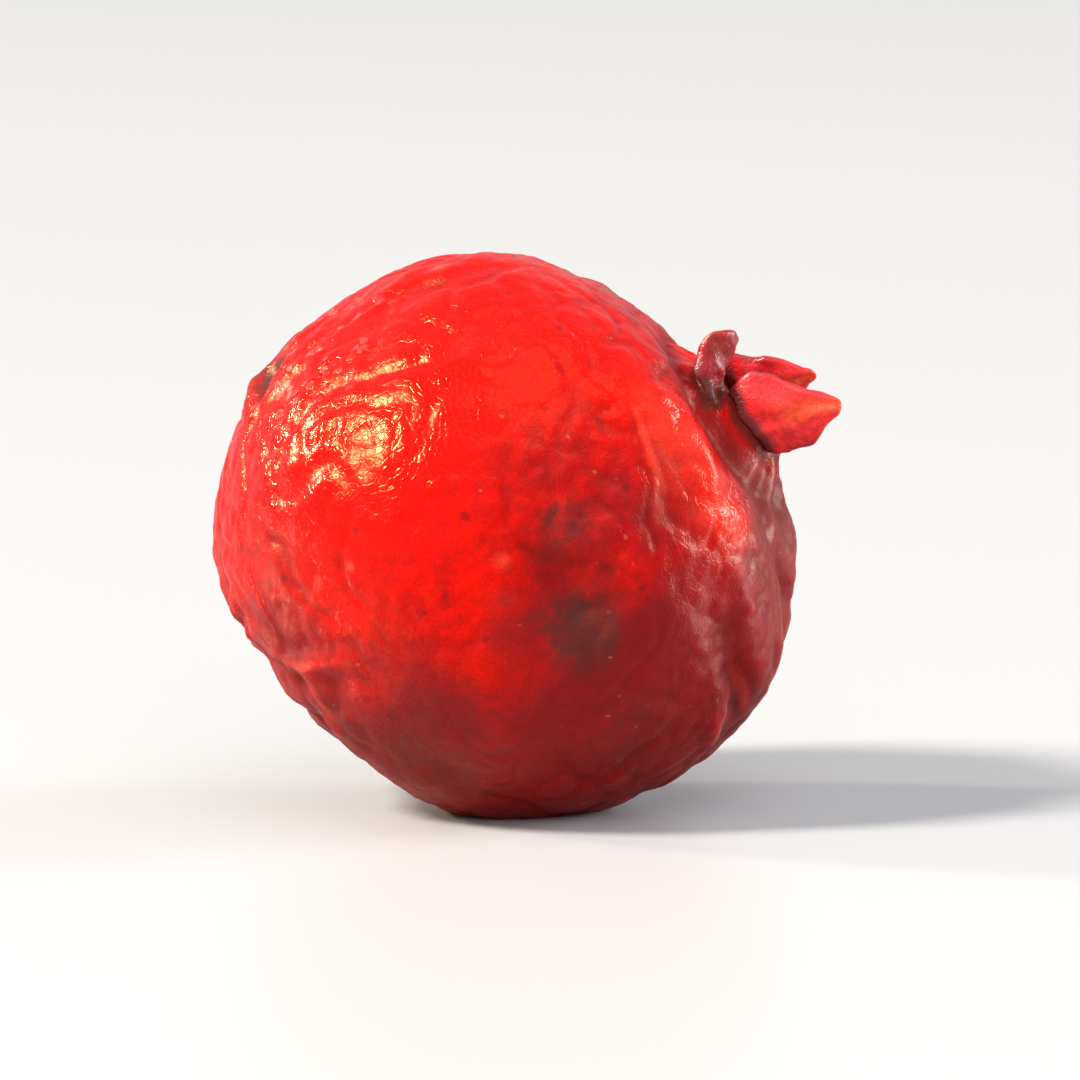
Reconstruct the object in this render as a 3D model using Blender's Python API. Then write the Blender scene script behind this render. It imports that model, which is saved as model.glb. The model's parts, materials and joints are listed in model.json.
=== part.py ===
"""A whole dried cranberry: one shrivelled round fruit that still wears the lobes of its calyx.

The berry is a single grown piece, so it is a single solid. Its skin is a round ball drawn in by a formula:
broad hollows where the flesh has sunk, creases, folds that run in to both ends, a small cup at the blossom
end and a dimple with a scar at the stem end. The four calyx lobes are joined to the rim of the cup.
Metres, +Z up. It is seen from the front, along +Y, with the calyx at the right and the stem end at the left.
"""

import math

import bmesh
import bpy
from mathutils import Matrix, Vector, noise

MM = 0.001

# Driving dimensions of the body.
BERRY_ACROSS = 16.4 * MM
BERRY_LENGTH = 15.8 * MM
HALF_ACROSS = BERRY_ACROSS / 2
REST_SPOT_SINK = 0.4 * MM
UNEVENNESS = 0.16 * MM

# The blossom end: a ring of lobes on a low collar, a cup inside it, a soft moat outside it.
CALYX_ACROSS = 3.2 * MM
CUP_DEPTH = 0.9 * MM
CUP_KNOB_RISE = 0.3 * MM
COLLAR_RISE = 0.26 * MM
MOAT_DEPTH = 0.2 * MM
LOBE_THICKNESS = 0.7 * MM
LOBE_ROOT_DEPTH = 0.55 * MM
LOBE_RIPPLE = 0.12 * MM
LOBE_ROOT_WIDTH = 1.3  # width at the root as a share of the lobe's own width
LOBE_NARROWING = 0.85
LOBE_WAVINESS = 0.3
LOBE_CUPPING = 0.11 * MM

# The stem end: a dimple, and in it the corky ring and the pit where the stalk broke off.
STEM_DIMPLE_DEPTH = 0.5 * MM
STEM_SCAR_ACROSS = 1.3 * MM
STEM_RING_RISE = 0.16 * MM
STEM_PIT_DEPTH = 0.16 * MM

# Folds and wrinkles.
GATHER_HEIGHT = 0.11 * MM
CALYX_GATHERS = 13
CALYX_GATHERS_OUT = 2.7 * MM  # where they are highest
CALYX_GATHERS_SPREAD = 1.7 * MM
STEM_GATHERS = 10
STEM_GATHERS_OUT = 1.95 * MM
STEM_GATHERS_SPREAD = 1.9 * MM
WIDE_WRINKLE_DEPTH = 0.09 * MM
WIDE_WRINKLES_PER_RADIUS = 3.4
NARROW_WRINKLE_DEPTH = 0.055 * MM
NARROW_WRINKLES_PER_RADIUS = 6.1
CREASE_LIP = 0.55  # height of a crease's lips as a share of its depth
CREASE_END_DEPTH = 0.2  # depth left at a crease's ends as a share of its depth halfway
CREASE_UNEVENNESS = 0.7
CREASE_WANDER = 0.10

# Mesh fineness.
SEGMENTS_AROUND = 84
RINGS_END_TO_END = 58
LOBE_SEGMENTS = 14
LOBE_RINGS = 12

SKIN_COLOUR = (0.46, 0.012, 0.010, 1.0)
SKIN_ROUGHNESS = 0.32


def toward(longitude, latitude):
    """The unit vector from the berry's middle to a place on it, in degrees.

    Longitude 0 faces the viewer, 90 is the viewer's right and 180 the back."""
    east, north = math.radians(longitude), math.radians(latitude)
    return Vector(
        (math.sin(east) * math.cos(north), -math.cos(east) * math.cos(north), math.sin(north))
    )


CALYX_END = toward(86, 29)
STEM_END = toward(-88, -27)

# Broad rises and hollows: longitude, latitude, half-width in degrees, height in millimetres.
SWELLS = [
    (90, 56, 25, -0.64),  # the flat shoulder above the calyx
    (-92, -50, 25, -0.66),  # drawn in below the stem end
    (84, -32, 26, 0.60),  # the full cheek under the calyx
    (90, 2, 12, 0.26),
    (-92, -4, 20, 0.30),  # the full cheek above the stem end
    (-82, 34, 12, 0.16),  # a small rise with a pit in it, upper left
    (14, -6, 14, -0.30),  # the sunken place at the middle of the front
    (-36, 12, 26, 0.16),
    (150, 10, 28, -0.42),  # the back, where it lay on the drying tray
    (-150, 38, 22, -0.30),
    (-140, -28, 24, 0.20),
    (176, -46, 20, -0.26),
    (20, 66, 22, 0.14),
    (118, -52, 18, -0.22),
]

# Creases: from and to as longitude and latitude, half-width and depth in millimetres. A depth below
# zero raises a ridge instead.
CREASES = [
    ((29, 44), (57, -2), 1.1, -0.22),  # the shoulder ridge round the calyx end
    ((52, 40), (66, 12), 0.70, 0.16),  # the hollow between that ridge and the calyx
    ((8, 10), (19, -24), 1.10, 0.17),  # the soft dimple in the front hollow
    ((-64, -20), (-36, -24), 0.34, -0.12),  # the forked fold at the lower left
    ((-44, -22), (-56, -48), 0.36, -0.12),
    ((-84, 40), (-76, 30), 0.50, 0.32),  # the pit at the upper left
    ((48, -8), (80, -40), 0.55, 0.22),  # folds in the cheek under the calyx
    ((70, -2), (88, -26), 0.40, 0.18),
    ((-2, 78), (-40, 52), 0.60, 0.15),
    ((-30, -42), (14, -56), 0.80, 0.13),
    ((128, 24), (148, -14), 0.70, 0.30),  # the back
    ((162, 36), (178, 10), 0.60, 0.26),
    ((-172, -8), (-150, -30), 0.55, 0.24),
    ((-132, 20), (-156, 40), 0.70, 0.19),
    ((-120, -6), (-112, -30), 0.50, 0.20),
    ((112, -34), (140, -48), 0.55, 0.22),
    ((100, 70), (150, 74), 0.55, 0.18),
]

# Calyx lobes: place round the cup in degrees from the top toward the viewer, length and width in
# millimetres, how far the root leans out and the tip curls further out, how far the tip sways sideways
# in millimetres, and how far it is twisted in degrees.
LOBES = [
    (42, 2.0, 2.5, 40, 40, -0.1, 85),  # short, bent back over the shoulder
    (106, 3.0, 2.6, 8, -12, 0.7, 12),  # the long one that shows
    (192, 2.0, 2.0, -6, -50, 0.2, -20),  # curled in over the cup
    (282, 2.7, 2.4, 6, -24, -0.5, -25),
]


def smooth_step(low, high, value):
    """0 below low, 1 above high, and an even ramp with round ends between them."""
    share = min(1.0, max(0.0, (value - low) / (high - low)))
    return share * share * (3 - 2 * share)


def bell(offset, half_width):
    """1 at no offset, falling off to both sides."""
    return math.exp(-((offset / half_width) ** 2))


def wandering(direction):
    """The direction moved a little by slow noise, so that no crease or fold runs dead straight."""
    place = direction * 3.1
    push = Vector(
        (
            noise.noise(place),
            noise.noise(place + Vector((11, 3, 5))),
            noise.noise(place + Vector((2, 17, 8))),
        )
    )
    return (direction + CREASE_WANDER * push).normalized()


def swells(direction):
    height = UNEVENNESS * noise.noise(direction * 1.9)
    for longitude, latitude, half_width, rise in SWELLS:
        angle = direction.angle(toward(longitude, latitude))
        height += rise * MM * bell(angle, math.radians(half_width))
    return height


def creases(direction):
    """Grooves along arcs, with a soft lip on both sides, shallow at their ends and uneven on the way."""
    height = 0.0
    uneven = 1 + CREASE_UNEVENNESS * noise.noise(direction * 6.5)
    for first, last, half_width, depth in CREASES:
        start, run = toward(*first), toward(*last) - toward(*first)
        share = min(1.0, max(0.0, (direction - start).dot(run) / run.length_squared))
        full = CREASE_END_DEPTH + (1 - CREASE_END_DEPTH) * math.sin(math.pi * share)
        away = direction.angle(start + share * run) * HALF_ACROSS / (half_width * MM)
        groove = bell(away, 1.0) - CREASE_LIP * bell(away - 2.1, 0.9)
        height -= full * uneven * depth * MM * groove
    return height


def blossom_end(direction):
    """The cup with the small knob in its floor, the collar that carries the lobes, and the moat."""
    out = direction.angle(CALYX_END) * HALF_ACROSS
    ring = CALYX_ACROSS / 2
    return (
        -CUP_DEPTH * (1 - smooth_step(0.35 * ring, 0.95 * ring, out))
        + CUP_KNOB_RISE * bell(out, 0.2 * ring)
        + COLLAR_RISE * bell(out - ring, 0.24 * ring)
        - MOAT_DEPTH * bell(out - 2 * ring, 0.34 * ring)
    )


def stem_dimple(direction):
    """The drawn-in stem end, with the corky ring and the pit where the stalk broke off."""
    out = direction.angle(STEM_END) * HALF_ACROSS
    ring = STEM_SCAR_ACROSS / 2
    return (
        -STEM_DIMPLE_DEPTH * bell(out, 2 * ring)
        + STEM_RING_RISE * bell(out - ring, 0.34 * ring)
        - STEM_PIT_DEPTH * bell(out, 0.46 * ring)
    )


def gathers(direction, end, count, strongest_at, spread):
    """Fine folds that run in to one end of the berry, uneven round it."""
    side = end.orthogonal().normalized()
    other = end.cross(side)
    turn = math.atan2(direction.dot(other), direction.dot(side))
    out = direction.angle(end) * HALF_ACROSS
    strength = 0.55 + 0.9 * noise.noise(direction * 2.3 + end * 5)
    wave = math.cos(count * turn + 2.6 * noise.noise(direction * 3.7))
    return GATHER_HEIGHT * strength * wave * bell(out - strongest_at, spread)


def wrinkles(direction):
    """Shallow lines along the zero contours of two noises, deeper in some patches than in others."""
    patch = max(0.0, 0.65 + 0.8 * noise.noise(direction * 1.7 + Vector((4, 1, 7))))
    wide = bell(noise.noise(direction * WIDE_WRINKLES_PER_RADIUS), 0.10)
    narrow_place = direction * NARROW_WRINKLES_PER_RADIUS + Vector((2, 8, 3))
    narrow = bell(noise.noise(narrow_place), 0.13)
    return -patch * (WIDE_WRINKLE_DEPTH * wide + NARROW_WRINKLE_DEPTH * narrow)


def skin_radius(direction):
    """How far the skin lies from the berry's middle in a direction."""
    along = direction.dot(CALYX_END)
    across = math.sqrt(max(0.0, 1 - along * along))
    radius = 1 / math.hypot(across / HALF_ACROSS, along / (BERRY_LENGTH / 2))
    wandered = wandering(direction)
    radius += swells(direction) + creases(wandered)
    radius += gathers(wandered, CALYX_END, CALYX_GATHERS, CALYX_GATHERS_OUT, CALYX_GATHERS_SPREAD)
    radius += gathers(wandered, STEM_END, STEM_GATHERS, STEM_GATHERS_OUT, STEM_GATHERS_SPREAD)
    radius += blossom_end(direction) + stem_dimple(direction)
    out = direction.angle(CALYX_END) * HALF_ACROSS
    off_the_ring = smooth_step(0.45 * CALYX_ACROSS, 0.8 * CALYX_ACROSS, out)
    return radius + off_the_ring * wrinkles(direction)


def clear_scene():
    for obj in list(bpy.data.objects):
        bpy.data.objects.remove(obj, do_unlink=True)


def new_collection(name):
    made = bpy.data.collections.new(name)
    bpy.context.scene.collection.children.link(made)
    return made


def skin_material():
    material = bpy.data.materials.new("cranberry_skin")
    material.use_nodes = True
    shader = material.node_tree.nodes["Principled BSDF"]
    shader.inputs["Base Color"].default_value = SKIN_COLOUR
    shader.inputs["Roughness"].default_value = SKIN_ROUGHNESS
    shader.inputs["Metallic"].default_value = 0.0
    return material


def add_ball(name, segments, rings, collection):
    """A unit ball with its poles on Z, as a new object in the collection, and its bmesh."""
    mesh = bpy.data.meshes.new(name)
    obj = bpy.data.objects.new(name, mesh)
    collection.objects.link(obj)
    ball = bmesh.new()
    bmesh.ops.create_uvsphere(ball, u_segments=segments, v_segments=rings, radius=1.0)
    return obj, ball


def make_berry(collection):
    """The body. The ball's poles lie at the calyx, where the form is finest, and at the far side."""
    berry, ball = add_ball("cranberry", SEGMENTS_AROUND, RINGS_END_TO_END, collection)
    turn = Vector((0, 0, 1)).rotation_difference(CALYX_END).to_matrix()
    for vertex in ball.verts:
        direction = (turn @ vertex.co).normalized()
        vertex.co = direction * skin_radius(direction)
    ball.to_mesh(berry.data)
    ball.free()
    return berry


def make_lobe(number, place, length, width, lean, curl, sway, twist, collection):
    """One pointed calyx lobe, a flattened ball bent along its length, with its root in the collar."""
    lobe, ball = add_ball(f"lobe_{number}", LOBE_SEGMENTS, LOBE_RINGS, collection)
    up = (Vector((0, 0, 1)) - CALYX_END * CALYX_END.z).normalized()
    near = CALYX_END.cross(up)
    turn = math.radians(place)
    outward = math.cos(turn) * up + math.sin(turn) * near
    sideways = CALYX_END.cross(outward)
    on_ring = (CALYX_END + outward * (CALYX_ACROSS / BERRY_ACROSS)).normalized()
    root = on_ring * (skin_radius(on_ring) - LOBE_ROOT_DEPTH)
    length, width, lean, curl = length * MM, width * MM, math.radians(lean), math.radians(curl)
    for vertex in ball.verts:
        share = (vertex.co.z + 1) / 2
        angle = lean + curl * share
        wave = noise.noise(Vector((vertex.co.x * 1.3, share * 4.2, number * 3.7)))
        tapered = width / 2 * (LOBE_ROOT_WIDTH - LOBE_NARROWING * share)
        half_width = vertex.co.x * tapered * (1 + LOBE_WAVINESS * wave)
        out = vertex.co.y * LOBE_THICKNESS * (0.62 - 0.2 * share)
        out -= LOBE_CUPPING * (2 * half_width / width) ** 2
        out += LOBE_RIPPLE * noise.noise(Vector((number * 3.0, share * 4, vertex.co.x * 2)))
        twisted = math.radians(twist) * share
        off_side = half_width * math.cos(twisted) - out * math.sin(twisted)
        off_face = half_width * math.sin(twisted) + out * math.cos(twisted)
        rise = length * (math.sin(angle) - math.sin(lean)) / curl
        reach = length * (math.cos(lean) - math.cos(angle)) / curl
        vertex.co = (
            root
            + CALYX_END * (rise - math.sin(angle) * off_face)
            + outward * (reach + math.cos(angle) * off_face)
            + sideways * (off_side + sway * MM * share * share)
        )
    bmesh.ops.recalc_face_normals(ball, faces=ball.faces)
    ball.to_mesh(lobe.data)
    ball.free()


def join_lobes(berry, lobes):
    """One union of the berry with the lobes' collection, whose objects are then removed."""
    union = berry.modifiers.new("join_lobes", "BOOLEAN")
    union.operation = "UNION"
    union.operand_type = "COLLECTION"
    union.collection = lobes
    union.solver = "EXACT"
    joined = bpy.data.meshes.new_from_object(
        berry.evaluated_get(bpy.context.evaluated_depsgraph_get())
    )
    berry.modifiers.remove(union)
    berry.data = joined
    for lobe in list(lobes.objects):
        bpy.data.objects.remove(lobe, do_unlink=True)
    bpy.data.collections.remove(lobes)


def flatten_foot(berry):
    """Cuts the small flat spot that the berry rests on, and sets the origin under the middle of it all."""
    solid = bmesh.new()
    solid.from_mesh(berry.data)
    floor = min(vertex.co.z for vertex in solid.verts) + REST_SPOT_SINK
    cut = bmesh.ops.bisect_plane(
        solid,
        geom=solid.verts[:] + solid.edges[:] + solid.faces[:],
        dist=1e-7,
        plane_co=(0, 0, floor),
        plane_no=(0, 0, -1),
        clear_outer=True,
    )
    rim = [item for item in cut["geom_cut"] if isinstance(item, bmesh.types.BMEdge)]
    bmesh.ops.edgeloop_fill(solid, edges=rim)
    bmesh.ops.recalc_face_normals(solid, faces=solid.faces)
    left = min(vertex.co.x for vertex in solid.verts)
    right = max(vertex.co.x for vertex in solid.verts)
    front = min(vertex.co.y for vertex in solid.verts)
    back = max(vertex.co.y for vertex in solid.verts)
    solid.transform(Matrix.Translation((-(left + right) / 2, -(front + back) / 2, -floor)))
    solid.to_mesh(berry.data)
    solid.free()


def main():
    clear_scene()
    parts = new_collection("dried_cranberry")
    lobes = new_collection("calyx_lobes")
    berry = make_berry(parts)
    for number, facts in enumerate(LOBES, start=1):
        make_lobe(number, *facts, lobes)
    join_lobes(berry, lobes)
    flatten_foot(berry)
    berry.data.shade_smooth()
    berry.data.materials.clear()
    berry.data.materials.append(skin_material())


main()
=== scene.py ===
# %% [markdown]
# # A whole dried cranberry
#
# The real thing is a cranberry that was dried whole. Its skin stayed red and glossy, but the flesh under
# it shrank, so the skin lies in dimples, creases and fine wrinkles. Four small dried lobes, the calyx,
# stand round a cup at one end, and a corky scar marks the other end, where the stalk was.
#
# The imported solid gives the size, the place and the main forms. This lesson grows the same berry again
# with a much finer skin, adds the grain and pores that a solid of about eleven thousand faces can't hold,
# and gives it its colour and gloss. All lengths are in metres and +Z is up.

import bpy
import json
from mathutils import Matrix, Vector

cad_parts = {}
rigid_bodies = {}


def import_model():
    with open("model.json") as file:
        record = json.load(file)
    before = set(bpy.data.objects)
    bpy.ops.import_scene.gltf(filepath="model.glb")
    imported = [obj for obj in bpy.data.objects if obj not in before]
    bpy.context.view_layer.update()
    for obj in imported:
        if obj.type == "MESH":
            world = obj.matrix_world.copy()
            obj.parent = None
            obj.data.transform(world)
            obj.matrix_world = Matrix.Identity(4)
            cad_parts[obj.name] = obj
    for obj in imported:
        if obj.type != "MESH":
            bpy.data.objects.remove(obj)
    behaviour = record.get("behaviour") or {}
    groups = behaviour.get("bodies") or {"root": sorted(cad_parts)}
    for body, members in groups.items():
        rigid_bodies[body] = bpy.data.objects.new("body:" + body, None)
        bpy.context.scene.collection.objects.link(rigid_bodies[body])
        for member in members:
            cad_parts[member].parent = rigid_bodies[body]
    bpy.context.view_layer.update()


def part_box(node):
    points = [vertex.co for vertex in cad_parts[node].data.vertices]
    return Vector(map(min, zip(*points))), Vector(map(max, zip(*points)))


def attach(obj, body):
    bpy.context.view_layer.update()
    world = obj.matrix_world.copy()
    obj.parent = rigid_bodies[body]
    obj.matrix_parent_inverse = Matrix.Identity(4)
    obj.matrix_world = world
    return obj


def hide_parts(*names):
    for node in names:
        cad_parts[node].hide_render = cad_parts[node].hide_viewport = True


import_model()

# %% [markdown]
# ## Tools and units
#
# Blender counts in metres, but a berry is easier to think of in millimetres, so lengths are written as a
# number of millimetres times MM. Blender's noise depends only on the place that it is asked for, so the
# berry comes out the same each time.

# %% Tools and units
import json
import math

import bmesh
import bpy
from mathutils import Matrix, Vector, kdtree, noise

MM = 0.001
LOW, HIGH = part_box("cranberry")
print("packed berry, mm:", [round(side / MM, 2) for side in HIGH - LOW])

# %% [markdown]
# ## The camera
#
# The photograph looks at the berry almost level, from a little above, and from far enough away that
# nothing looks stretched. A long lens does the same here. The berry fills a bit more than half of the
# picture's width, which leaves room for its shadow on the right.

# %% Camera
CAMERA_RISE = math.radians(7)
CAMERA_DISTANCE = 340 * MM
LENS_MM = 400
FILM_WIDTH_MM = 36
NEAREST_SEEN = 10 * MM
AIM = Vector((0.4, 0, 7.6)) * MM

to_camera = Vector((0, -math.cos(CAMERA_RISE), math.sin(CAMERA_RISE)))
camera = bpy.data.objects.new("camera", bpy.data.cameras.new("camera"))
bpy.context.scene.collection.objects.link(camera)
camera.data.lens = LENS_MM
camera.data.sensor_width = FILM_WIDTH_MM
camera.data.clip_start = NEAREST_SEEN
camera.location = AIM + to_camera * CAMERA_DISTANCE
camera.rotation_euler = (-to_camera).to_track_quat("-Z", "Y").to_euler()
bpy.context.scene.camera = camera
print("width of the view at the berry, mm:", round(FILM_WIDTH_MM / LENS_MM * CAMERA_DISTANCE / MM, 1))

# %% [markdown]
# ## Places on the berry
#
# Every crease and dimple has a place on a round fruit, so places are given as on a globe: longitude 0
# faces the camera, 90 is the right side, 180 the back. The calyx end points to the upper right and the
# stem end to the lower left, as the berry lies in the photograph.

# %% Directions and soft curves
BERRY_ACROSS = 16.4 * MM
BERRY_LENGTH = 15.8 * MM
HALF_ACROSS = BERRY_ACROSS / 2


def toward(longitude, latitude):
    """The unit vector from the berry's middle to a place on it, in degrees."""
    east, north = math.radians(longitude), math.radians(latitude)
    return Vector(
        (math.sin(east) * math.cos(north), -math.cos(east) * math.cos(north), math.sin(north))
    )


def smooth_step(low, high, value):
    """0 below low, 1 above high, and an even ramp with round ends between them."""
    share = min(1.0, max(0.0, (value - low) / (high - low)))
    return share * share * (3 - 2 * share)


def bell(offset, half_width):
    """1 at no offset, falling off to both sides."""
    return math.exp(-((offset / half_width) ** 2))


def soft_noise(direction, per_radius, pattern=(0, 0, 0)):
    """Noise from about -1 to 1. More waves per radius make it finer, and the pattern picks another one."""
    return noise.noise(direction * per_radius + Vector(pattern))


CALYX_END = toward(86, 29)
STEM_END = toward(-88, -27)
print("from end to end of the berry, degrees:", round(math.degrees(CALYX_END.angle(STEM_END)), 1))

# %% [markdown]
# ## Spots and arcs
#
# Most marks on the berry are either round spots or lines between two places. Both could be painted by
# hand. Short tables of places, widths and strengths are easier to set against a photograph, and one
# table row is one mark that can be found again. These helpers turn a table's degrees into vectors once,
# because each of the skin's 75,000 points asks for them.

# %% Spots and arcs
def placed_spots(table):
    """A table's spots: each place as a vector, the pattern of its border, and its width in radians."""
    return [
        (toward(longitude, latitude), (longitude, latitude, 0), math.radians(width), strength)
        for longitude, latitude, width, strength in table
    ]


def placed_arcs(table):
    """A table's arcs: each one's start and run as vectors, and its half-width in metres."""
    return [
        (toward(*first), toward(*last) - toward(*first), half_width * MM, strength)
        for first, last, half_width, strength in table
    ]


def beside_arc(direction, start, run):
    """How far along an arc a place lies, from 0 to 1, and how far beside it, in metres."""
    share = min(1.0, max(0.0, (direction - start).dot(run) / run.length_squared))
    return share, direction.angle(start + share * run) * HALF_ACROSS

# %% [markdown]
# ## Broad rises and hollows
#
# As the flesh dries it pulls the skin in, so a dried berry is no longer a ball: some sides stay full and
# others sink. A sculpting brush could do it. The table does it here, because it is the same table that
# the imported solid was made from, so the fine skin follows the solid everywhere.

# %% Broad rises and hollows: longitude, latitude, half-width in degrees, height in millimetres
SWELLS = placed_spots([
    (90, 56, 25, -0.64),  # the flat shoulder above the calyx
    (-92, -50, 25, -0.66),  # drawn in below the stem end
    (84, -32, 26, 0.60),  # the full cheek under the calyx
    (90, 2, 12, 0.26),
    (-92, -4, 20, 0.30),  # the full cheek above the stem end
    (-82, 34, 12, 0.16),  # a small rise with a pit in it, upper left
    (14, -6, 14, -0.30),  # the sunken place at the middle of the front
    (-36, 12, 26, 0.16),
    (150, 10, 28, -0.42),  # the back, where it lay on the drying tray
    (-150, 38, 22, -0.30),
    (-140, -28, 24, 0.20),
    (176, -46, 20, -0.26),
    (20, 66, 22, 0.14),
    (118, -52, 18, -0.22),
])
SLOW_UNEVENNESS = 0.16 * MM
SLOW_WAVES_PER_RADIUS = 1.9


def swells(direction):
    height = SLOW_UNEVENNESS * soft_noise(direction, SLOW_WAVES_PER_RADIUS)
    for place, _, width, rise in SWELLS:
        height += rise * MM * bell(direction.angle(place), width)
    return height


print("broad rises and hollows:", len(SWELLS))

# %% [markdown]
# ## Creases
#
# Where the skin has to fold it makes a groove with a soft lip on both sides. Creases could be sculpted
# as well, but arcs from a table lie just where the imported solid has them. A row with a depth below zero
# makes a ridge instead.
#
# A groove that runs dead straight looks cut. So the berry's places are first pushed about a little by
# slow noise, and each groove is made deeper and shallower on its way.

# %% Creases: from and to as longitude and latitude, half-width and depth in millimetres
CREASES = placed_arcs([
    ((29, 44), (57, -2), 1.1, -0.22),  # the shoulder ridge round the calyx end
    ((52, 40), (66, 12), 0.70, 0.16),  # the hollow between that ridge and the calyx
    ((8, 10), (19, -24), 1.10, 0.17),  # the soft dimple in the front hollow
    ((-64, -20), (-36, -24), 0.34, -0.12),  # the forked fold at the lower left
    ((-44, -22), (-56, -48), 0.36, -0.12),
    ((-84, 40), (-76, 30), 0.50, 0.32),  # the pit at the upper left
    ((48, -8), (80, -40), 0.55, 0.22),  # folds in the cheek under the calyx
    ((70, -2), (88, -26), 0.40, 0.18),
    ((-2, 78), (-40, 52), 0.60, 0.15),
    ((-30, -42), (14, -56), 0.80, 0.13),
    ((128, 24), (148, -14), 0.70, 0.30),  # this row and the rest are on the back
    ((162, 36), (178, 10), 0.60, 0.26),
    ((-172, -8), (-150, -30), 0.55, 0.24),
    ((-132, 20), (-156, 40), 0.70, 0.19),
    ((-120, -6), (-112, -30), 0.50, 0.20),
    ((112, -34), (140, -48), 0.55, 0.22),
    ((100, 70), (150, 74), 0.55, 0.18),
])
print("creases and ridges:", len(CREASES))

# %% Uneven grooves with soft lips
CREASE_LIP = 0.55  # height of the lip, as a share of the depth
CREASE_LIP_PLACE = 2.1  # how far out the lip lies, in half-widths of the crease
CREASE_LIP_WIDTH = 0.9
CREASE_END_DEPTH = 0.2
CREASE_UNEVENNESS = 0.7
CREASE_WAVES_PER_RADIUS = 6.5
CREASE_WANDER = 0.10
WANDER_WAVES_PER_RADIUS = 3.1
WANDER_PATTERNS = ((0, 0, 0), (11, 3, 5), (2, 17, 8))


def wandering(direction):
    """The direction moved a little by slow noise, so that no crease or fold runs dead straight."""
    push = Vector(
        [soft_noise(direction, WANDER_WAVES_PER_RADIUS, pattern) for pattern in WANDER_PATTERNS]
    )
    return (direction + CREASE_WANDER * push).normalized()


def creases(direction):
    """Grooves along arcs, with a soft lip on both sides, shallow at their ends and uneven on the way."""
    height = 0.0
    uneven = 1 + CREASE_UNEVENNESS * soft_noise(direction, CREASE_WAVES_PER_RADIUS)
    for start, run, half_width, depth in CREASES:
        share, beside = beside_arc(direction, start, run)
        full = CREASE_END_DEPTH + (1 - CREASE_END_DEPTH) * math.sin(math.pi * share)
        off = beside / half_width
        groove = bell(off, 1.0) - CREASE_LIP * bell(off - CREASE_LIP_PLACE, CREASE_LIP_WIDTH)
        height -= full * uneven * depth * MM * groove
    return height


print("depth of the dimple in front, mm:", round(-creases(toward(13, -7)) / MM, 2))

# %% [markdown]
# ## The blossom end
#
# A cranberry's blossom end has a low collar that carries the four lobes, with a cup inside it, a small
# knob in the cup's floor, and a soft moat outside. It could be turned as a ring and joined on, but it is
# part of the same skin. As it is round, a formula of the distance from the end says it all. The widths
# and places here are shares of the collar's radius.

# %% The blossom end
CALYX_ACROSS = 3.2 * MM
CUP_DEPTH = 0.9 * MM
CUP_WALL = (0.35, 0.95)
CUP_KNOB_RISE = 0.3 * MM
CUP_KNOB_WIDTH = 0.2
COLLAR_RISE = 0.26 * MM
COLLAR_WIDTH = 0.24
MOAT_DEPTH = 0.2 * MM
MOAT_PLACE = 2
MOAT_WIDTH = 0.34


def from_calyx(direction):
    """How far a place lies from the middle of the blossom end, along the skin."""
    return direction.angle(CALYX_END) * HALF_ACROSS


def blossom_end(direction):
    """The cup with the small knob in its floor, the collar that carries the lobes, and the moat."""
    out = from_calyx(direction)
    ring = CALYX_ACROSS / 2
    return (
        -CUP_DEPTH * (1 - smooth_step(CUP_WALL[0] * ring, CUP_WALL[1] * ring, out))
        + CUP_KNOB_RISE * bell(out, CUP_KNOB_WIDTH * ring)
        + COLLAR_RISE * bell(out - ring, COLLAR_WIDTH * ring)
        - MOAT_DEPTH * bell(out - MOAT_PLACE * ring, MOAT_WIDTH * ring)
    )


print("floor of the cup, mm:", round(blossom_end(CALYX_END) / MM, 2))

# %% [markdown]
# ## The stem end
#
# Where the stalk broke off, the skin is drawn in to a small corky ring with a pit. It is a second formula
# of the same kind, with widths as shares of the scar's radius.

# %% The stem end
STEM_SCAR_ACROSS = 1.3 * MM
STEM_DIMPLE_DEPTH = 0.5 * MM
STEM_DIMPLE_WIDTH = 2
STEM_RING_RISE = 0.16 * MM
STEM_RING_WIDTH = 0.34
STEM_PIT_DEPTH = 0.16 * MM
STEM_PIT_WIDTH = 0.46


def from_stem(direction):
    """How far a place lies from the middle of the stem end, along the skin."""
    return direction.angle(STEM_END) * HALF_ACROSS


def stem_dimple(direction):
    """The drawn-in stem end, with the corky ring and the pit where the stalk broke off."""
    out = from_stem(direction)
    ring = STEM_SCAR_ACROSS / 2
    return (
        -STEM_DIMPLE_DEPTH * bell(out, STEM_DIMPLE_WIDTH * ring)
        + STEM_RING_RISE * bell(out - ring, STEM_RING_WIDTH * ring)
        - STEM_PIT_DEPTH * bell(out, STEM_PIT_WIDTH * ring)
    )


print("depth of the stem end, mm:", round(stem_dimple(STEM_END) / MM, 2))

# %% [markdown]
# ## Folds that run in to both ends
#
# Round both ends the skin lies in fine radiating folds, like the mouth of a drawn bag. Each could be a
# crease in the table, but there are more than twenty, so a wave runs round the end instead. Noise bends
# the wave and makes it fade here and there, so that no two folds are alike.

# %% Folds at both ends
GATHER_HEIGHT = 0.11 * MM
GATHER_STRENGTH = (0.55, 0.9)  # how strong they are, and how far that varies
GATHER_FADES_PER_RADIUS = 2.3
GATHER_BEND = 2.6
GATHER_BENDS_PER_RADIUS = 3.7
CALYX_GATHERS = 13
CALYX_GATHERS_OUT = 2.7 * MM  # where they are highest
CALYX_GATHERS_SPREAD = 1.7 * MM
STEM_GATHERS = 10
STEM_GATHERS_OUT = 1.95 * MM
STEM_GATHERS_SPREAD = 1.9 * MM


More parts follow.
